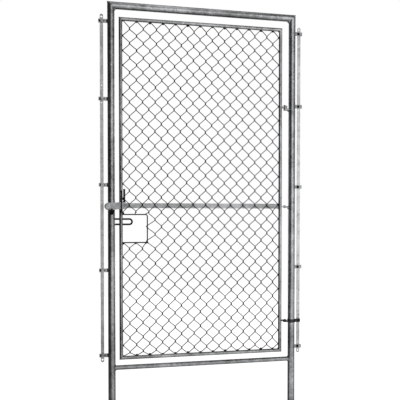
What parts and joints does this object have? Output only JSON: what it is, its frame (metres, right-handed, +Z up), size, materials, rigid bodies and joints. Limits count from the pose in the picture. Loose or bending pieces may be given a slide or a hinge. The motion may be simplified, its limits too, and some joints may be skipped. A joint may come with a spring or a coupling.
{
  "type": "chain-link walk gate",
  "caption": "Walk gate of diamond wire mesh in a round-tube leaf, hung in a tube portal, with a fall-bar latch, a hand hatch and flat tension bars beside the posts.",
  "frame": {"origin": "centre of the hinge post's foot, on the ground", "axes": "+Z up, +X from the latch post to the hinge post, -Y the side that the leaf opens to"},
  "size_m": [1.2555, 0.0693, 2.4309],
  "materials": {
    "galvanised_tube": "hot-dip galvanised, mottled",
    "zinc_flat": "galvanised flat bar, dull",
    "mesh_wire": "weathered zinc-coated wire",
    "dark_iron": "dark, dull iron"
  },
  "bodies": {
    "portal": {"hinge_post": "galvanised_tube", "latch_post": "galvanised_tube", "top_rail": "galvanised_tube", "sill_rail": "galvanised_tube", "hinge_side_bar": "zinc_flat", "latch_side_bar": "zinc_flat", "hinge_side_lugs": "zinc_flat", "latch_side_lugs": "zinc_flat", "upper_hinge_bracket": "zinc_flat", "middle_hinge_bracket": "zinc_flat", "lower_hinge_band": "dark_iron", "latch_catch": "dark_iron", "stop_loop": "dark_iron"},
    "leaf": {"latch_stile": "galvanised_tube", "hinge_stile": "galvanised_tube", "leaf_top_rail": "galvanised_tube", "leaf_bottom_rail": "galvanised_tube", "mid_rail": "zinc_flat", "mesh_upper": "mesh_wire", "mesh_lower": "mesh_wire", "mesh_under_hatch": "mesh_wire", "mesh_over_hatch": "mesh_wire", "hatch_frame": "mesh_wire", "upper_hinge_eye": "zinc_flat", "middle_hinge_eye": "zinc_flat", "lower_hinge_eye": "dark_iron", "latch_stud": "dark_iron", "guide_staple": "dark_iron"},
    "latch": {"latch_arm": "zinc_flat", "latch_handle": "dark_iron"}
  },
  "joints": [
    {"name": "leaf_swing", "type": "hinge", "parent": "portal", "child": "leaf", "pos_m": [-0.042, 0, 1.25095], "axis": [0, 0, 1], "range_deg": [0, 110]},
    {"name": "latch_lift", "type": "hinge", "parent": "leaf", "child": "latch", "pos_m": [-1.03355, -0.0292, 1.25095], "axis": [0, 1, 0], "range_deg": [0, 50]}
  ]
}
